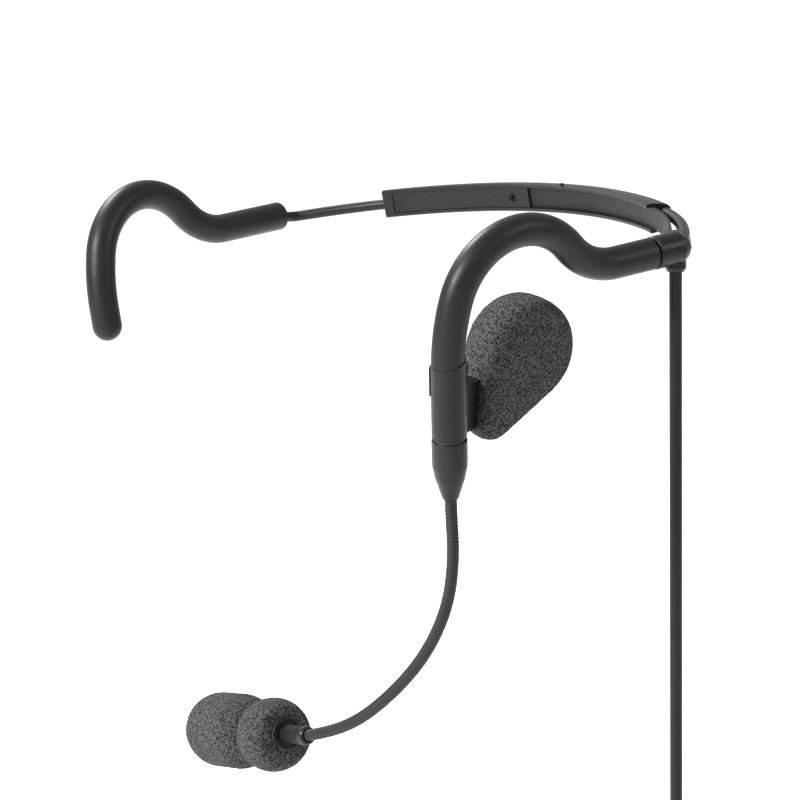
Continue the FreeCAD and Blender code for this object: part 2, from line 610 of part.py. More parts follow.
rear_lobe = part_object("Part::Sphere", "rear_lobe",
                        Placement(HEAD.multVec(Vector(0, REAR_LOBE, 0)) + LOBE_RISE, Rotation()), Radius="rear_lobe_radius")
front_centres = [HEAD.multVec(Vector(0, REAR_LOBE + size("lobe_spacing") + along, 0)) + LOBE_RISE
                 for along in (0, size("lobe_length"))]
front_lobe = [part_object("Part::Sphere", "front_lobe_%d" % index, Placement(centre, Rotation()),
                          Radius="front_lobe_radius") for index, centre in enumerate(front_centres)]
front_barrel = cylinder("front_barrel", Placement(
    front_centres[0], Rotation(Vector(0, 0, 1), front_centres[1] - front_centres[0])),
    "front_lobe_radius", "lobe_length")
foam_blank = fuse("windscreen_blank", [rear_lobe, front_barrel] + front_lobe)
foam_bore = turned("windscreen_bore_tool", HEAD, [
    ("0", "-4"), ("12", "-4"), ("12", "10"), ("5.1", "10"), ("5.1", "10.3"), ("mic_radius", "10.3"), ("mic_radius", "23"), ("0", "23")])
node(boolean("Cut", "windscreen_cut", foam_blank, foam_bore), "foam_windscreen")

# ---------------------------------------------------------------- ear speaker

PIN_FRAME = LEFT.multiply(Placement(Vector(size("pin_p"), 0, size("pin_inset")), Rotation()))
ARM_TOP = "-3.4"
ARM_LENGTH = "13"


def prism_across(name, corners, top, length):
    """A pad whose outline lies in the (p, n) plane of the left hook and which runs down from a height."""
    body = new_body(name, LEFT.multiply(Placement(Vector(0, size(top), 0), Rotation())))
    sketch = outline(body, name + "_outline", corners, "XZ_Plane")
    pad = body.newObject("PartDesign::Pad", name + "_pad")
    pad.Profile = sketch
    pad.setExpression("Length", cell(length))
    document.recompute()
    return body


arm_blank = prism_across("arm_blank", [
    ("pin_p", "pin_inset + 1.8"), ("10", "-4.9"), ("17", "-8.6"), ("24", "-9.2"), ("24", "-12.2"),
    ("16", "-12.2"), ("9", "-8.2"), ("pin_p", "pin_inset - 1.8"), ("pin_p - 1.3", "pin_inset - 1.2"),
    ("pin_p - 1.8", "pin_inset"), ("pin_p - 1.3", "pin_inset + 1.2")], ARM_TOP, ARM_LENGTH)
pin_bore = turned("pin_bore", PIN_FRAME, ring("0", "pin_radius + sliding_gap", "-18", "0"))
SPEAKER = axis_frame(LEFT.multVec(Vector(size("speaker_p"), size("speaker_q"), size("speaker_inset"))),
                     LEFT.Rotation.multVec(Vector(0, 0, -1)), LEFT.Rotation.multVec(Vector(1, 0, 0)))
cup_tool = turned("cup_tool", SPEAKER, ring("0", "driver_radius", "-4.3", "3.4"))
arm = node(boolean("Cut", "arm_cut", arm_blank, fuse("arm_tools", [pin_bore, cup_tool])), "speaker_arm")

bracket_blank = prism_across("bracket_blank", [
    ("1", "-2"), ("5.4", "-0.4"), ("9.4", "-4.4"), ("9.4", "-7"), ("8.4", "-8"), ("5.8", "-8"),
    ("1", "-5")], "3.4", "6.5")
stem_tool = turned("stem_tool", STEM, ring("0", "stem_radius", "-8", "8"))
pin = node(turned("pin", PIN_FRAME, ring("0", "pin_radius", "-15.8", "2.6")), "speaker_pivot_pin")
pin_hole = turned("pin_hole", PIN_FRAME, ring("0", "pin_radius", "-4", "2.6"))
node(boolean("Cut", "bracket_cut", bracket_blank, fuse("bracket_tools", [stem_tool, pin_hole])),
     "speaker_bracket")

node(turned("back_shell", SPEAKER, [
    ("0", "-4.3"), ("driver_radius - 1.4", "-4.3"), ("driver_radius", "-3.2"), ("driver_radius", "1.5"),
    ("driver_radius - 1.1", "1.5"), ("driver_radius - 1.1", "-3.2"), ("0", "-3.2")]), "speaker_back_shell")
node(turned("magnet", SPEAKER, ring("0", "5.5", "-3.2", "-1")), "speaker_magnet")
node(turned("basket", SPEAKER, [
    ("5.5", "-2.2"), ("driver_radius - 1.1", "-2.2"), ("driver_radius - 1.1", "1.3"),
    ("driver_radius - 1.9", "1.3"), ("driver_radius - 1.9", "-1.3"), ("5.5", "-1.3")]), "speaker_basket")
node(turned("voice_coil", SPEAKER, ring("3", "3.5", "-0.8", "0.95")), "speaker_voice_coil")
node(turned("diaphragm", SPEAKER, [
    ("0", "1.7"), ("2.2", "1.4"), ("3.5", "0.95"), ("6", "1.25"), ("driver_radius - 1.9", "1"),
    ("driver_radius - 1.9", "1.2"), ("6", "1.45"), ("3.5", "1.15"), ("2.2", "1.6"), ("0", "1.9")]),
    "speaker_diaphragm")
front_disc = turned("front_disc", SPEAKER, [
    ("driver_radius - 1.1", "1.5"), ("driver_radius", "1.5"), ("driver_radius", "3"),
    ("driver_radius - 0.4", "3.4"), ("0", "3.4"), ("0", "2.6"), ("driver_radius - 1.1", "2.6")])
ports = [cylinder("port_%d_%d" % (ring_number, index), SPEAKER.multiply(Placement(
    Vector(reach * math.cos(2 * math.pi * index / count), 2.4, reach * math.sin(2 * math.pi * index / count)),
    Rotation(Vector(1, 0, 0), -90))), "0.7", "1.4")
    for ring_number, (reach, count) in enumerate(((3.0, 6), (6.5, 12))) for index in range(count)]
node(boolean("Cut", "front_cut", front_disc, fuse("front_ports", ports)), "speaker_grille")


def teardrop(inset, edge):
    """A rounded pad: a disc drawn out to a narrower tail, with its edges rounded."""
    thickness = size("foam_thickness") - 2 * inset
    floor = size("speaker_inset") - thickness / 2
    discs = [(Vector(size("speaker_p"), size("speaker_q"), floor), size("foam_radius") - inset),
             (Vector(size("tail_p"), size("tail_q"), floor), size("tail_radius") - inset)]
    (big, big_radius), (small, small_radius) = discs
    along = (small - big).normalize()
    slope = math.asin((big_radius - small_radius) / (small - big).Length)
    across = Vector(-along.y, along.x, 0)
    normals = [along * math.sin(slope) + across * math.cos(slope) * side for side in (1, -1)]
    first = Part.Arc(big + normals[0] * big_radius, big - along * big_radius, big + normals[1] * big_radius)
    last = Part.Arc(small + normals[1] * small_radius, small + along * small_radius,
                    small + normals[0] * small_radius)
    wire = Part.Wire([first.toShape(), Part.LineSegment(big + normals[1] * big_radius,
                                                        small + normals[1] * small_radius).toShape(),
                      last.toShape(), Part.LineSegment(small + normals[0] * small_radius,
                                                       big + normals[0] * big_radius).toShape()])
    solid = Part.Face(wire).extrude(Vector(0, 0, thickness))
    rims = [one for one in solid.Edges if abs(one.Vertexes[0].Z - one.Vertexes[-1].Z) < 1e-6]
    return solid.makeFillet(edge, rims) if edge else solid


foam_outer = document.addObject("Part::Feature", "ear_foam_outer")
foam_outer.Shape = teardrop(0.0, 3.6)
foam_outer.Placement = LEFT
foam_inner = document.addObject("Part::Feature", "ear_foam_inner")
foam_inner.Shape = teardrop(size("foam_wall"), 0)
foam_inner.Placement = LEFT
foam_hollow = boolean("Cut", "ear_foam_hollow", foam_outer, foam_inner)
node(boolean("Cut", "ear_foam_cut", foam_hollow, arm), "ear_foam_cover")

# ---------------------------------------------------------------- cable, stored coil and plug

# The cable hangs straight from the gland. The length beyond the straight stretch is stored in a tied coil
# under it, and the plug hangs beside the coil.
CABLE_X = CABLE_TOP.x
CABLE_Y = CABLE_TOP.y
CABLE_START = CABLE_TOP.z
COIL_Z = -202.0
COIL_CENTRE = Vector(CABLE_X, CABLE_Y, COIL_Z)
coil_outer = size("coil_radius") + size("coil_section")
TAIL_START = COIL_Z - 6.0
TAIL_END = COIL_Z - 34.0

cable_wire = Part.Wire([Part.LineSegment(Vector(CABLE_X, CABLE_Y, CABLE_START),
                                         Vector(CABLE_X, CABLE_Y, COIL_Z + coil_outer)).toShape()])
cable_bar = swept("cable_bar", cable_wire, "cable_diameter")
coil_ring = part_object("Part::Torus", "coil_ring", Placement(COIL_CENTRE, Rotation(Vector(0, 1, 0), 90)),
                        Radius1="coil_radius", Radius2="coil_section")
tail_x = CABLE_X
tail_y = CABLE_Y + size("coil_radius") + 3.6
tail_wire = Part.Wire([Part.LineSegment(Vector(tail_x, tail_y, TAIL_START),
                                        Vector(tail_x, tail_y, TAIL_END)).toShape()])
cable_rest = boolean("Cut", "cable_trimmed", cable_bar, coil_ring)
node(cable_rest, "cable_hanging_run")
node(coil_ring, "cable_coil")
tail_bar = swept("tail_bar", tail_wire, "cable_diameter")
node(boolean("Cut", "tail_trimmed", tail_bar, coil_ring), "cable_plug_tail")

TIE_ANGLE = 200
tie_centre = COIL_CENTRE + Vector(0, math.cos(math.radians(TIE_ANGLE)), math.sin(math.radians(TIE_ANGLE))) \
    * size("coil_radius")
tie_along = Vector(0, -math.sin(math.radians(TIE_ANGLE)), math.cos(math.radians(TIE_ANGLE)))
tie_ring = turned("tie_ring", axis_frame(tie_centre, tie_along, Vector(1, 0, 0)),
                  ring("0", "coil_section + 0.7", "-4", "4"))
node(boolean("Cut", "tie_cut", tie_ring, coil_ring), "cable_tie")

PLUG = axis_frame(Vector(tail_x, tail_y, TAIL_END), Vector(0, 0, -1), Vector(0, 1, 0))
node(turned("plug_boot", PLUG, [
    ("cable_diameter / 2", "-8"), ("2.3", "-8"), ("2.9", "0"), ("2.9", "2"), ("cable_diameter / 2", "2")]),
    "plug_strain_relief")
node(turned("plug_grip", PLUG, [
    ("0", "2"), ("3.6", "2"), ("4.4", "3.2"), ("4.4", "15"), ("3.4", "17.5"), ("0", "17.5")]),
    "plug_grip")
node(turned("plug_pin", PLUG, [
    ("0", "17.5"), ("2.6", "17.5"), ("2.6", "18.3"), ("plug_pin_radius", "18.3"),
    ("plug_pin_radius", "26.3"), ("0", "26.3")]), "plug_sleeve_contact")
node(turned("plug_ring", PLUG, ring("0", "plug_pin_radius", "26.3", "27")), "plug_insulator")
node(turned("plug_tip", PLUG, [
    ("0", "27"), ("plug_pin_radius", "27"), ("plug_pin_radius", "28.4"), ("1.25", "29.4"),
    ("1.65", "30.4"), ("0.7", "32.3"), ("0", "32.3")]), "plug_tip_contact")

# ---------------------------------------------------------------- checks and export

document.recompute()
for thing in document.Objects:
    if "Invalid" in thing.State or "Error" in thing.State:
        raise RuntimeError("%s failed: %s" % (thing.Name, thing.State))
for thing in NODES:
    if thing.Shape.isNull() or not thing.Shape.isValid():
        raise RuntimeError("%s has no valid shape" % thing.Label)
    if not thing.Shape.Solids:
        raise RuntimeError("%s has no solid" % thing.Label)

for name, radii in (("gooseneck", gooseneck_radii),):
    print(name, "bend radii, mm:", ", ".join("%.0f" % radius for radius in radii))
for label, wire in (("cable_hanging_run", cable_wire), ("cable_plug_tail", tail_wire)):
    length = wire.Length
    print(label, "length %.1f mm, section times length %.1f mm3" %
          (length, length * math.pi * size("cable_diameter") ** 2 / 4))

os.makedirs("parts", exist_ok=True)
for thing in NODES:
    thing.Shape.exportStep("parts/%s.step" % thing.Label)
print(len(NODES), "sub-parts")
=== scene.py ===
import bpy
import json
import math
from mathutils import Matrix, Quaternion, Vector, noise


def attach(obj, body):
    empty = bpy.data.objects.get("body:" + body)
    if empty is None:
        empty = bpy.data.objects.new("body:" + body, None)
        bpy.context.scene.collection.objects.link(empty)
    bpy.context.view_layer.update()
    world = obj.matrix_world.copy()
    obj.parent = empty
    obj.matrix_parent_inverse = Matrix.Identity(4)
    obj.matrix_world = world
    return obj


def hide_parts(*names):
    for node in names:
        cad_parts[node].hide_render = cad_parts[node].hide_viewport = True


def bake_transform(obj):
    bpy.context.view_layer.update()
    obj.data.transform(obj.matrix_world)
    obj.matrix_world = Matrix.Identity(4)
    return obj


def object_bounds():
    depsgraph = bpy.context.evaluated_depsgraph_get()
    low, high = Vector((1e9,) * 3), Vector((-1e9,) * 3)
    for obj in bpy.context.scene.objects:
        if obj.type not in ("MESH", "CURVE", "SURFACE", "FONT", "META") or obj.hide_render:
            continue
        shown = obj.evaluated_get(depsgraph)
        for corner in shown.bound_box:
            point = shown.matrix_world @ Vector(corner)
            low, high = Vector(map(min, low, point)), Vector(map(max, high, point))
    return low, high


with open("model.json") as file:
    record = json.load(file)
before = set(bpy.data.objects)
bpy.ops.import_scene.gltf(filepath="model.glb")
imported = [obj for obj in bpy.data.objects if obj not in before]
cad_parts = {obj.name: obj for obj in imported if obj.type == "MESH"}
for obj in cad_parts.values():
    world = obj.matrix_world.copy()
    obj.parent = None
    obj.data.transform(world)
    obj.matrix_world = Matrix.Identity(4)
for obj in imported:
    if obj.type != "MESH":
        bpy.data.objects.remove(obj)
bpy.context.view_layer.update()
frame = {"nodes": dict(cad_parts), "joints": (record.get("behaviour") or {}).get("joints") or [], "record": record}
nodes = frame["nodes"]
joints = {joint["name"]: joint for joint in frame["joints"]}
MM = 0.001


def linked(name, data):
    """A new object with the given data, in the scene."""
    made = bpy.data.objects.new(name, data)
    bpy.context.scene.collection.objects.link(made)
    return made


# ---------------------------------------------------------------- camera

# The photograph's viewing angle. Lengths are in mm.
AZIMUTH, ELEVATION, ROLL = math.radians(47.39), math.radians(10.45), math.radians(-1.13)
AIM = Vector((14.69, 14.25, -49.08)) * MM
CAMERA_DISTANCE = 745.7
FOCAL_LENGTH = 122.7
SENSOR_WIDTH = 36.0

camera_data = bpy.data.cameras.new("camera")
camera_data.lens = FOCAL_LENGTH
camera_data.sensor_width = SENSOR_WIDTH
camera_data.clip_start = 0.01
camera_data.clip_end = 20.0
camera = linked("camera", camera_data)
to_camera = Vector((math.sin(AZIMUTH) * math.cos(ELEVATION), -math.cos(AZIMUTH) * math.cos(ELEVATION),
                    math.sin(ELEVATION)))
camera.rotation_mode = "QUATERNION"
camera.location = AIM + to_camera * CAMERA_DISTANCE * MM
camera.rotation_quaternion = (-to_camera).to_track_quat("-Z", "Y") @ Quaternion((0, 0, 1), ROLL)
bpy.context.scene.camera = camera


# ---------------------------------------------------------------- curves, tubes and meshes

# The direction that the points of a tube's section start from.
SIDE_HINT = Vector((0, 1, 0))


def nurbs(name, points, radius, resolution=8):
    """An open NURBS curve with a round section. A route's points are its control points, in mm."""
    data = bpy.data.curves.new(name, "CURVE")
    data.dimensions = "3D"
    data.resolution_u = resolution
    data.bevel_depth = radius * MM
    data.bevel_resolution = 6
    data.use_fill_caps = radius > 0
    spline = data.splines.new("NURBS")
    spline.points.add(len(points) - 1)
    for point, place in zip(spline.points, points):
        point.co = (*(Vector(place) * MM), 1.0)
    spline.order_u = 3
    spline.use_endpoint_u = True
    return linked(name, data)


def evaluated_mesh(piece):
    """The mesh that a curve, or a piece with modifiers, comes to."""
    bpy.context.view_layer.update()
    return bpy.data.meshes.new_from_object(piece.evaluated_get(bpy.context.evaluated_depsgraph_get()))


def centreline(points, resolution=12):
    """The points along a route's NURBS spline, in metres."""
    guide = nurbs("guide", points, 0.0, resolution)
    mesh = evaluated_mesh(guide)
    line = [vertex.co.copy() for vertex in mesh.vertices]
    bpy.data.objects.remove(guide)
    bpy.data.meshes.remove(mesh)
    return line


def resample(line, step):
    """The same line with points an equal step apart."""
    lengths = [0.0]
    for a, b in zip(line, line[1:]):
        lengths.append(lengths[-1] + (b - a).length)
    count = max(2, round(lengths[-1] / step))
    made, index = [], 0
    for i in range(count + 1):
        target = lengths[-1] * i / count
        while index < len(line) - 2 and lengths[index + 1] < target:
            index += 1
        share = (target - lengths[index]) / max(lengths[index + 1] - lengths[index], 1e-12)
        made.append(line[index].lerp(line[index + 1], min(1.0, share)))
    return made


def smooth_shaded(piece):
    """Shades every face of a piece smoothly."""
    piece.data.polygons.foreach_set("use_smooth", [True] * len(piece.data.polygons))


def lofted(name, rings):
    """A closed piece over rings of equally many points, in metres, with a cap on each end."""
    count = len(rings[0])
    faces = []
    for r in range(len(rings) - 1):
        for k in range(count):
            a, b = r * count + k, r * count + (k + 1) % count
            faces.append((a, b, b + count, a + count))
    faces.append(tuple(reversed(range(count))))
    faces.append(tuple((len(rings) - 1) * count + k for k in range(count)))
    mesh = bpy.data.meshes.new(name)
    mesh.from_pydata([tuple(place) for ring in rings for place in ring], [], faces)
    mesh.validate()
    piece = linked(name, mesh)
    smooth_shaded(piece)
    return piece


def tube_along(name, line, radius_at, sides=20):
    """A closed tube whose radius may change along its line and round its section."""
    rings = []
    for i, point in enumerate(line):
        along = (line[min(i + 1, len(line) - 1)] - line[max(i - 1, 0)]).normalized()
        across = (SIDE_HINT - along * SIDE_HINT.dot(along)).normalized()
        third = along.cross(across)
        ring = []
        for k in range(sides):
            turn = 2 * math.pi * k / sides
            radius = radius_at(i, turn)
            ring.append(point + across * (math.cos(turn) * radius) + third * (math.sin(turn) * radius))
        rings.append(ring)
    return lofted(name, rings)


# ---------------------------------------------------------------- materials
# Texture scales are in cells per metre of the piece's own coordinates, and relief depths in mm.

MOTTLING = 40.0
ROUGHNESS_SPREAD = 0.08
SPECULAR = 0.15


def started_material(name):
    """A new material, its node tree, its shader and its texture coordinates."""
    made = bpy.data.materials.new(name)
    made.use_nodes = True
    tree = made.node_tree
    return made, tree, tree.nodes["Principled BSDF"], tree.nodes.new("ShaderNodeTexCoord")


def noise_texture(tree, place, scale, detail):
    texture = tree.nodes.new("ShaderNodeTexNoise")
    texture.inputs["Scale"].default_value = scale
    texture.inputs["Detail"].default_value = detail
    tree.links.new(place.outputs["Object"], texture.inputs["Vector"])
    return texture


def calculated(tree, operation, *terms):
    """The result of a math node. Each term is a number or another node's output."""
    node = tree.nodes.new("ShaderNodeMath")
    node.operation = operation
    for socket, term in zip(node.inputs, terms):
        if isinstance(term, float):
            socket.default_value = term
        else:
            tree.links.new(term, socket)
    return node.outputs[0]


def ramped_colour(tree, shader, factor, low, dark, high, light):
    """Colours the shader: dark up to the low factor, light from the high one, and a blend between."""
    ramp = tree.nodes.new("ShaderNodeValToRGB")
    first, second = ramp.color_ramp.elements
    first.position, first.color = low, (*dark, 1)
    second.position, second.color = high, (*light, 1)
    tree.links.new(factor, ramp.inputs["Fac"])
    tree.links.new(ramp.outputs["Color"], shader.inputs["Base Color"])


def relief(tree, shader, height, depth):
    """Bumps the shader's surface. A height of 1 stands for the depth in mm."""
    bump = tree.nodes.new("ShaderNodeBump")
    bump.inputs["Strength"].default_value = 1.0
    bump.inputs["Distance"].default_value = depth * MM
    tree.links.new(height, bump.inputs["Height"])
    tree.links.new(bump.outputs["Normal"], shader.inputs["Normal"])


def material(name, dark, light, roughness, grain, depth, metallic=0.0):
    """A moulded, coated or metal surface, with slow colour mottling, uneven roughness and a fine relief.

    grain is a list of (scale, share of the relief) pairs."""
    made, tree, shader, place = started_material(name)
    slow = noise_texture(tree, place, MOTTLING, 6.0)
    ramped_colour(tree, shader, slow.outputs["Fac"], 0.3, dark, 0.7, light)
    span = tree.nodes.new("ShaderNodeMapRange")
    span.inputs["To Min"].default_value = max(0.02, roughness - ROUGHNESS_SPREAD)
    span.inputs["To Max"].default_value = min(1.0, roughness + ROUGHNESS_SPREAD)
    smudge = noise_texture(tree, place, MOTTLING * 4, 8.0)
    tree.links.new(smudge.outputs["Fac"], span.inputs["Value"])
    tree.links.new(span.outputs["Result"], shader.inputs["Roughness"])
    shader.inputs["Metallic"].default_value = metallic
    shader.inputs["Specular IOR Level"].default_value = SPECULAR
    height = None
    for scale, share in grain:
        cells = noise_texture(tree, place, scale, 3.0)
        scaled = calculated(tree, "MULTIPLY", cells.outputs["Fac"], share)
        height = scaled if height is None else calculated(tree, "ADD", height, scaled)
    relief(tree, shader, height, depth)
    return made


PORES, FINE_PORES = 1600.0, 3600.0
FINE_SHARE = 0.45
WARP_SCALE, WARP_REACH = 1500.0, 0.0004
# The pore colour is painted shade: the near-black of the shaded hollows inside the pores.
PORE_SHADE_COLOUR, WALL_COLOUR = (0.0008, 0.0008, 0.0009), (0.0420, 0.0425, 0.0450)


def foam_material(name):
    """Open-cell foam: two sizes of pores between paler walls, in the relief and in the colour, where the pores'
    near-black is painted shade.
    """
    made, tree, shader, place = started_material(name)
    warp = noise_texture(tree, place, WARP_SCALE, 2.0)
    moved = tree.nodes.new("ShaderNodeVectorMath")
    moved.operation = "MULTIPLY_ADD"
    moved.inputs[1].default_value = (WARP_REACH, WARP_REACH, WARP_REACH)
    tree.links.new(warp.outputs["Color"], moved.inputs[0])
    tree.links.new(place.outputs["Object"], moved.inputs[2])
    distances = []
    for scale in (PORES, FINE_PORES):
        cells = tree.nodes.new("ShaderNodeTexVoronoi")
        cells.inputs["Scale"].default_value = scale
        tree.links.new(moved.outputs["Vector"], cells.inputs["Vector"])
        distances.append(cells.outputs["Distance"])
    wide, fine = distances
    height = calculated(tree, "MULTIPLY_ADD", fine, FINE_SHARE, wide)
    # The dark end of this ramp paints shade into the pores.
    ramped_colour(tree, shader, height, 0.50, PORE_SHADE_COLOUR, 0.85, WALL_COLOUR)
    shader.inputs["Roughness"].default_value = 0.95
    shader.inputs["Specular IOR Level"].default_value = 0.08
    shader.inputs["Sheen Weight"].default_value = 0.02
    shader.inputs["Sheen Roughness"].default_value = 0.6
    relief(tree, shader, height, 0.30)
    return made


# For each slot: dark colour, light colour, roughness, grain, depth of the grain, and for a metal how
# metallic it is.
SURFACES = {
    "soft_sleeve": ((0.0042, 0.0042, 0.0045), (0.0064, 0.0064, 0.0070), 0.44, [(2500, 0.6), (700, 0.4)],
                    0.05),
    "black_plastic": ((0.0035, 0.0035, 0.0038), (0.0055, 0.0055, 0.0060), 0.36, [(3000, 0.7), (500, 0.3)],
                      0.035),
    "grained_plastic": ((0.0035, 0.0035, 0.0038), (0.0072, 0.0072, 0.0080), 0.50, [(2600, 0.8), (900, 0.5)],
                        0.16),
    "coated_rod": ((0.0035, 0.0035, 0.0038), (0.0060, 0.0060, 0.0066), 0.40, [(2200, 1.0)], 0.02),
    "gooseneck_skin": ((0.0060, 0.0060, 0.0065), (0.0105, 0.0105, 0.0115), 0.50, [(3000, 1.0)], 0.04),
    "cable_jacket": ((0.0040, 0.0040, 0.0044), (0.0065, 0.0065, 0.0072), 0.42, [(1500, 0.7), (400, 0.5)],
                     0.03),
    "spring_steel": ((0.42, 0.42, 0.44), (0.55, 0.55, 0.57), 0.32, [(1800, 1.0)], 0.01, 1.0),
    "black_metal": ((0.008, 0.008, 0.009), (0.014, 0.014, 0.016), 0.33, [(2500, 1.0)], 0.015, 0.3),
    "latch_metal": ((0.010, 0.0055, 0.005), (0.018, 0.0085, 0.0075), 0.4, [(2500, 1.0)], 0.02, 0.6),
    "black_screw": ((0.003, 0.003, 0.003), (0.006, 0.006, 0.006), 0.35, [(2500, 1.0)], 0.01, 0.5),
    "plug_metal": ((0.26, 0.255, 0.245), (0.36, 0.355, 0.34), 0.30, [(1500, 1.0)], 0.004, 1.0),
    "washer_plastic": ((0.04, 0.04, 0.04), (0.06, 0.06, 0.06), 0.3, [(2000, 1.0)], 0.01),
    "magnet": ((0.18, 0.18, 0.19), (0.26, 0.26, 0.27), 0.4, [(1500, 1.0)], 0.02, 0.8),
    "film": ((0.50, 0.46, 0.32), (0.62, 0.57, 0.42), 0.25, [(1500, 1.0)], 0.01),
    "copper_coil": ((0.55, 0.24, 0.10), (0.70, 0.33, 0.15), 0.3, [(4000, 1.0)], 0.03, 0.9),
    "capsule_metal": ((0.55, 0.55, 0.56), (0.68, 0.68, 0.69), 0.3, [(2000, 1.0)], 0.01, 1.0),
}
finishes = {slot: material(slot, *surface) for slot, surface in SURFACES.items()}
finishes["foam"] = foam_material("foam")


def paint(piece, slot):
    """Gives a piece the finish of its slot."""
    piece.data.materials.clear()
    piece.data.materials.append(finishes[slot])


for entry in frame["record"]["subparts"]:
    paint(nodes[entry["node"]], entry["material_slot"])


def dress(piece, slot, body=None):
    """Gives a piece the finish of its slot, and a body to ride on if one is given."""
    paint(piece, slot)
    if body:
        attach(piece, body)


# ---------------------------------------------------------------- cable
# Straight down from the gland, round in an upright coil of seven turns and an eighth, and down again to
# the plug. Lengths are in mm and angles in degrees, as in the CAD. The turns wind round the coil's ring,
# LAY_RADIUS from its centre line, and STRANDS turns go once round it.

CABLE_RADIUS = 1.7
CABLE_X, CABLE_Y = 83.3, 49.95
CABLE_TOP = -6.25
COIL_Z = -202.0
COIL_RADIUS = 20.9
LAY_RADIUS = 4.64
STRANDS = 8
ENTRY_ANGLE, EXIT_ANGLE = 45.0, 90.0
RING_TURNS = 7.0 + (EXIT_ANGLE - ENTRY_ANGLE) / 360.0
PER_TURN = 24
TAIL_Y = CABLE_Y + COIL_RADIUS + 3.6
TAIL_END = COIL_Z - 34.0

route = [
    (CABLE_X, CABLE_Y, CABLE_TOP),
    (CABLE_X, CABLE_Y, CABLE_TOP - 12),
    (CABLE_X, CABLE_Y, CABLE_TOP - 80),
    (CABLE_X, CABLE_Y, COIL_Z + 50),
    (CABLE_X, CABLE_Y, COIL_Z + 36.5),
]
steps = round(RING_TURNS * PER_TURN)
for i in range(steps + 1):
    turned = RING_TURNS * i / steps
    clock = math.radians(ENTRY_ANGLE + 360 * turned)
    lay = 2 * math.pi * turned / STRANDS
    reach = COIL_RADIUS + LAY_RADIUS * math.cos(lay)
    route.append((CABLE_X - LAY_RADIUS * math.sin(lay), CABLE_Y + reach * math.sin(clock),
                  COIL_Z + reach * math.cos(clock)))
coil_end_x = route[-1][0]
route += [
    (coil_end_x + 0.7, TAIL_Y + 0.2, COIL_Z - 6.5),
    (coil_end_x + 1.6, TAIL_Y + 0.2, COIL_Z - 13.0),
    (CABLE_X, TAIL_Y, COIL_Z - 20.0),
    (CABLE_X, TAIL_Y, TAIL_END + 1.0),
]
cable = nurbs("cable", route, CABLE_RADIUS)
dress(cable, "cable_jacket", "head_frame")
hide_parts("cable_hanging_run", "cable_coil", "cable_plug_tail")
line = centreline(route)


# ---------------------------------------------------------------- gooseneck
# Two ribbed skins that meet halfway between the bends.

BOOM_Y = -16.2
SKIN_RADIUS, RIB_HEIGHT = 1.60, 0.075
RIB_PITCH = 0.85 * MM
RINGS_PER_RIB = 5

boom_route = [
    (66.88, -17.08, -57.35), (65.61, -15.84, -66.25), (66.9, BOOM_Y, -79.0), (64.4, BOOM_Y, -92.5),
    (56.2, BOOM_Y, -106.5), (43.4, BOOM_Y, -119.5), (27.2, BOOM_Y, -131.7), (9.1, BOOM_Y, -139.0),
    (4.27, BOOM_Y + 0.85, -139.98)]
whole_boom = resample(centreline(boom_route, 24), RIB_PITCH / RINGS_PER_RIB)


def nearest(point):
    """The index of the boom's ring nearest to a point."""
    return min(range(len(whole_boom)), key=lambda i: (whole_boom[i] - point).length)


def ribbed(first):
    """Radius of the spiral-ribbed skin from ring first on: one thread that climbs a pitch in each turn."""
    def radius_at(i, turn):
        phase = 2 * math.pi * (i + first) / RINGS_PER_RIB - turn
        return (SKIN_RADIUS + RIB_HEIGHT * math.cos(phase)) * MM
    return radius_at


upper_bend = Vector(joints["boom_bend_upper"]["pos_m"])
lower_bend = Vector(joints["boom_bend_lower"]["pos_m"])
cut = (nearest(upper_bend) + nearest(lower_bend)) // 2
for name, first, stop, bodies, bend, hidden in (
        ("gooseneck_skin_upper", 0, cut + 1, ("boom", "boom_middle"), upper_bend,
         ("gooseneck_upper", "gooseneck_middle")),
        ("gooseneck_skin_lower", cut, len(whole_boom), ("boom_middle", "boom_tip"), lower_bend,
         ("gooseneck_lower",))):
    skin = tube_along(name, whole_boom[first:stop], ribbed(first))
    dress(skin, "gooseneck_skin")
    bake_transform(skin)
    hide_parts(*hidden)


# ---------------------------------------------------------------- foam pieces

CLOTH_FRAMES = 20
CELL_DEPTH, CELL_SCALE = 0.10, 900.0


def apply_modifiers(piece):
    mesh = evaluated_mesh(piece)
    piece.modifiers.clear()
    piece.data = mesh


def voxelled(piece, size, smoothing):
    """Remeshes a piece with voxels of a size in mm, and evens its edges out."""
    remesh = piece.modifiers.new("remesh", "REMESH")
    remesh.mode = "VOXEL"
    remesh.voxel_size = size * MM
    smooth = piece.modifiers.new("smooth", "SMOOTH")
    smooth.factor = 0.5
    smooth.iterations = smoothing
    apply_modifiers(piece)


def puffed(piece, pressure, cap):
    """Blows a piece up a little as cloth, so that its faces crown. No point moves more than cap, in mm."""
    rest = [v.co.copy() for v in piece.data.vertices]
    cloth = piece.modifiers.new("cloth", "CLOTH")
    cloth.settings.use_pressure = True
    cloth.settings.uniform_pressure_force = pressure
    cloth.settings.effector_weights.gravity = 0.0
    for number in range(1, CLOTH_FRAMES + 1):
        bpy.context.scene.frame_set(number)
    apply_modifiers(piece)
    bpy.context.scene.frame_set(1)
    for vertex, place in zip(piece.data.vertices, rest):
        move = vertex.co - place
        if move.length > cap * MM:
            vertex.co = place + move.normalized() * cap * MM


def cell_relief(piece):
    """Uneven skin of cut foam: each point moves a little along its normal."""
    for vertex, normal in [(v, v.normal.copy()) for v in piece.data.vertices]:
        place = vertex.co * CELL_SCALE
        vertex.co += normal * CELL_DEPTH * MM * (noise.noise(place) + 0.5 * noise.noise(place * 2.3))


def foamed(piece, voxel, smoothing, pressure, cap):
    """Turns a lofted shape into a soft foam body."""
    voxelled(piece, voxel, smoothing)
    puffed(piece, pressure, cap)
    cell_relief(piece)
    smooth_shaded(piece)
    return piece


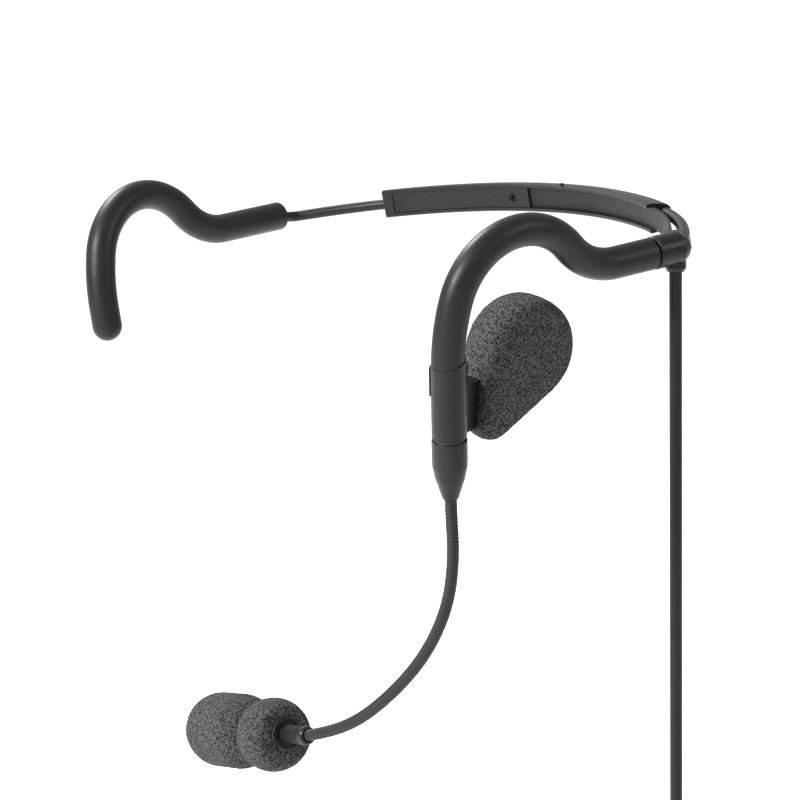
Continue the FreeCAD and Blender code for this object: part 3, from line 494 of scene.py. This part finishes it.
# The ear pad lies in the left hook's own plane, measured in mm from HOOK: backwards, up and outwards.
HOOK = Vector((70.3, -20.4, -33.4))
UP = Vector(joints["ear_speaker_swing"]["axis"]).normalized()
BACK = Vector((0.1201, 0.9928, 0.0))
OUT = BACK.cross(UP)
PAD_DISC, PAD_DISC_RADIUS = Vector((30.7, 2.5)), 14.5
PAD_TAIL, PAD_TAIL_RADIUS = Vector((22.1, -15.3)), 5.4
PAD_POINTS = 96
PAD_MIDDLE, PAD_HALF = -10.8, 6.5
# Below the height TAIL_FROM the pad gets thinner, by the share TAIL_THINNING at the end of TAIL_RUN.
TAIL_FROM, TAIL_RUN, TAIL_THINNING = 2.0, 20.0, 0.22
# From the outer face to the inner one: how far the outline is drawn in, and the share of the half
# thickness.
PAD_SECTION = ((3.3, 1.0), (1.5, 0.95), (0.5, 0.75), (0.0, 0.35),
               (0.0, -0.35), (0.5, -0.75), (1.5, -0.95), (3.3, -1.0))


def hook_place(p, q, n):
    """A point p backwards, q up and n outwards in the hook's plane, in metres."""
    return (HOOK + BACK * p + UP * q + OUT * n) * MM


def teardrop(inset):
    """Outline of the ear pad: a disc drawn out to a narrower tail."""
    disc_radius, tail_radius = PAD_DISC_RADIUS - inset, PAD_TAIL_RADIUS - inset
    along = (PAD_TAIL - PAD_DISC).normalized()
    across = Vector((-along.y, along.x))
    narrow = math.pi / 2 - math.asin((disc_radius - tail_radius) / (PAD_TAIL - PAD_DISC).length)
    outline = []
    for centre, way, radius, half_turn, count in (
            (PAD_DISC, -along, disc_radius, narrow - math.pi, PAD_POINTS),
            (PAD_TAIL, along, tail_radius, narrow, PAD_POINTS // 3)):
        for k in range(count):
            turn = half_turn - 2 * half_turn * k / (count - 1)
            outline.append(centre + way * (math.cos(turn) * radius) + across * (math.sin(turn) * radius))
    return outline


def ear_pad():
    """The ear speaker's foam cover: thick over the speaker and thinner at its tail."""
    rings = []
    for inset, share in PAD_SECTION:
        ring = []
        for place in teardrop(inset):
            tail = max(0.0, min(1.0, (TAIL_FROM - place.y) / TAIL_RUN))
            depth = PAD_HALF * (1.0 - TAIL_THINNING * tail * tail)
            ring.append(hook_place(place.x, place.y, PAD_MIDDLE + share * depth))
        rings.append(ring)
    return lofted("ear_foam", rings)


ear_foam = foamed(ear_pad(), voxel=0.7, smoothing=14, pressure=4.0, cap=0.9)
dress(ear_foam, "foam", "ear_speaker")
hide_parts("ear_foam_cover")

# The windscreen lies along MIC_WAY, measured in mm from MIC.
MIC = Vector((9.1, BOOM_Y, -139.0))
MIC_WAY = Vector((-0.966, 0.17, -0.195)).normalized()
LOBE_RISE = Vector((0.0, 0.0, -0.7))
REAR_CUT, REAR_CUT_RADIUS = 14.2, 5.1
REAR_LOBE, REAR_RADIUS = 20.7, 10.45
FRONT_LOBE, FRONT_LOBE_END, FRONT_RADIUS = 39.4, 50.9, 10.75
CUT_STEP = 0.05
SMALLEST_RADIUS = 0.05
SCREEN_RINGS, SCREEN_SIDES = 120, 72


def windscreen():
    """A round rear lobe cut flat at the collar and a longer front lobe, with a waist between them."""
    line, radii = [(MIC + LOBE_RISE + MIC_WAY * REAR_CUT) * MM], [REAR_CUT_RADIUS]
    tip = FRONT_LOBE_END + FRONT_RADIUS
    for i in range(SCREEN_RINGS + 1):
        t = REAR_CUT + CUT_STEP + (tip - REAR_CUT - CUT_STEP) * i / SCREEN_RINGS
        heights = []
        for start, end, radius in ((REAR_LOBE, REAR_LOBE, REAR_RADIUS),
                                   (FRONT_LOBE, FRONT_LOBE_END, FRONT_RADIUS)):
            off = max(start - t, 0.0, t - end)
            heights.append(math.sqrt(max(0.0, radius ** 2 - off ** 2)))
        line.append((MIC + LOBE_RISE + MIC_WAY * t) * MM)
        radii.append(max(SMALLEST_RADIUS, max(heights)))
    return tube_along("windscreen", line, lambda i, turn: radii[i] * MM, sides=SCREEN_SIDES)


foam = foamed(windscreen(), voxel=0.6, smoothing=6, pressure=3.0, cap=0.5)
dress(foam, "foam", "boom_tip")
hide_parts("foam_windscreen")


# ---------------------------------------------------------------- studio

# Name, place and disc size in metres, and power in watts. Each light points at the camera's aim.
LIGHTS = (
    ("key", (-0.15, -1.0, 0.55), 0.25, 40),
    ("rim", (-0.9, 0.1, 0.8), 0.35, 18),
    ("fill", (1.0, 0.5, 0.6), 0.3, 5),
)
FLOOR_GAP = 0.02
FLOOR_HALF = 40
WORLD_STRENGTH = 0.8

for name, place, size, power in LIGHTS:
    data = bpy.data.lights.new(name, "AREA")
    data.shape = "DISK"
    data.size = size
    data.energy = power
    lamp = linked(name, data)
    lamp.location = place
    lamp.rotation_mode = "QUATERNION"
    lamp.rotation_quaternion = (AIM - Vector(place)).to_track_quat("-Z", "Y")

floor_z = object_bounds()[0].z - FLOOR_GAP
floor_mesh = bpy.data.meshes.new("floor")
floor_mesh.from_pydata([(x * FLOOR_HALF, y * FLOOR_HALF, floor_z)
                        for x, y in ((-1, -1), (1, -1), (1, 1), (-1, 1))], [], [(0, 1, 2, 3)])
floor = linked("floor", floor_mesh)
pale = bpy.data.materials.new("pale_floor")
pale.use_nodes = True
pale_shader = pale.node_tree.nodes["Principled BSDF"]
pale_shader.inputs["Base Color"].default_value = (0.9, 0.9, 0.9, 1)
pale_shader.inputs["Roughness"].default_value = 1.0
pale_shader.inputs["Emission Color"].default_value = (1, 1, 1, 1)
pale_shader.inputs["Emission Strength"].default_value = 0.35
floor.data.materials.append(pale)

world = bpy.data.worlds.new("studio")
world.use_nodes = True
background = world.node_tree.nodes["Background"]
background.inputs["Color"].default_value = (1, 1, 1, 1)
background.inputs["Strength"].default_value = WORLD_STRENGTH
bpy.context.scene.world = world
bpy.context.scene.view_settings.view_transform = "Standard"
